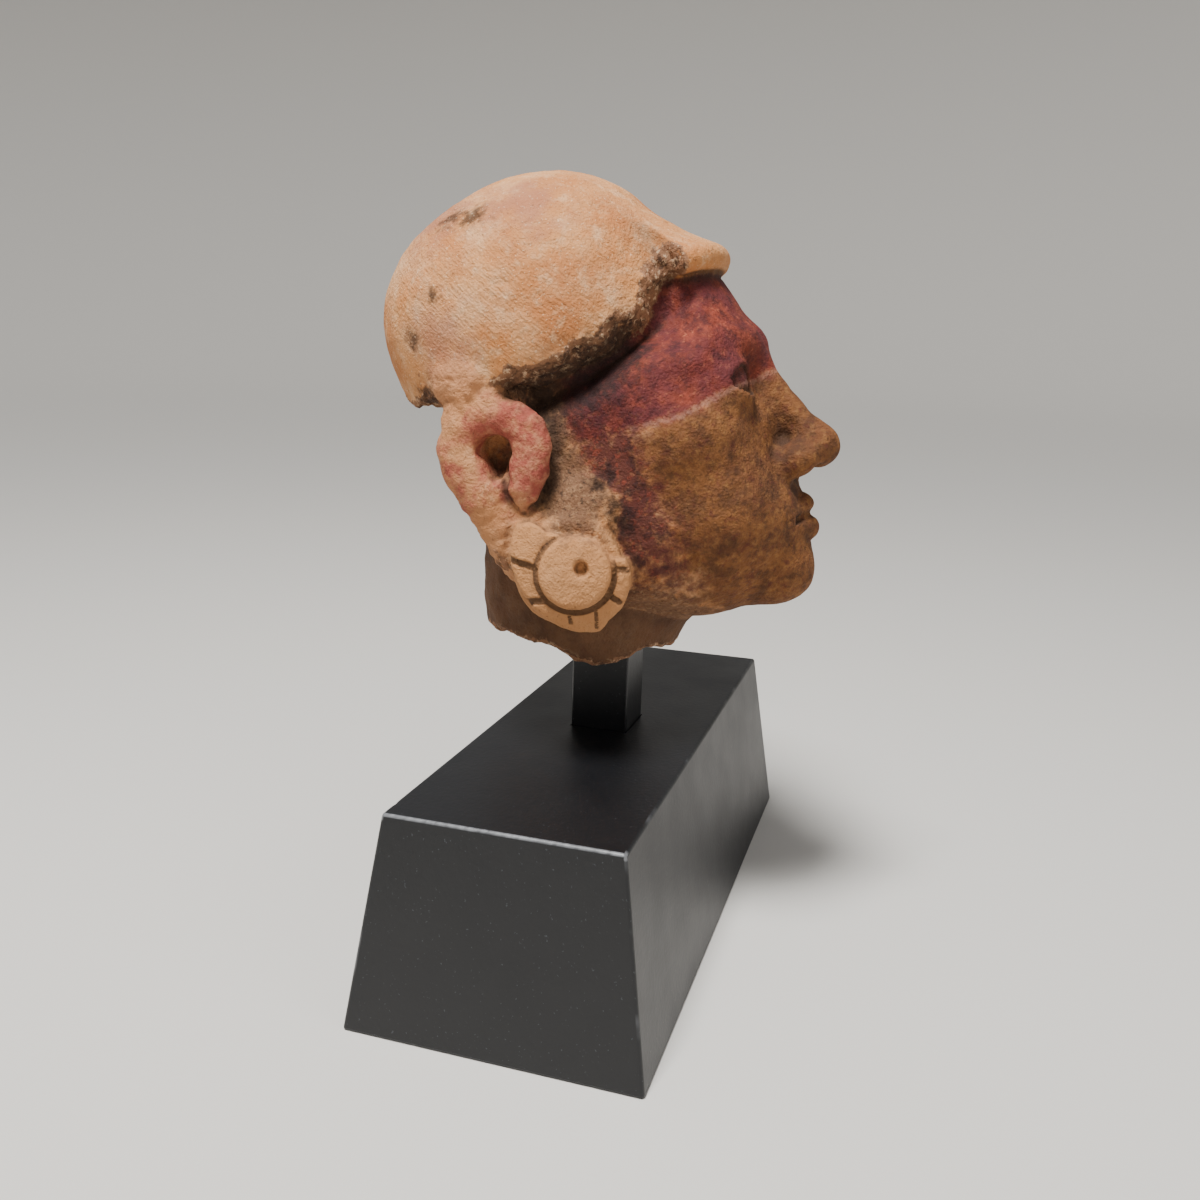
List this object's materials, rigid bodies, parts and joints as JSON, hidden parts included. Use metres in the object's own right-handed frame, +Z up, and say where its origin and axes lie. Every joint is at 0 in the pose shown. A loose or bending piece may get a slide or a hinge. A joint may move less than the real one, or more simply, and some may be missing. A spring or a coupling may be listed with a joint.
{
  "type": "pottery head on a display mount",
  "caption": "Broken pottery head with a close cap, ear loops and ear spools, on a square post and a tapered block for display.",
  "frame": {"origin": "centre of the block's underside", "axes": "+Z up, the face looks along -Y, +X to the figure's left along the block's long side"},
  "size_m": [0.1934, 0.1359, 0.2257],
  "materials": {
    "fired_clay": "low-fired buff-orange clay, matte and gritty, with worn red, maroon and ochre paint on the face and ears",
    "black_post": "black paint, satin",
    "black_block": "black painted wood, satin, with worn edges and fine scuffs"
  },
  "bodies": {
    "root": {"pottery_head": "fired_clay", "post": "black_post", "block": "black_block"}
  },
  "joints": []
}
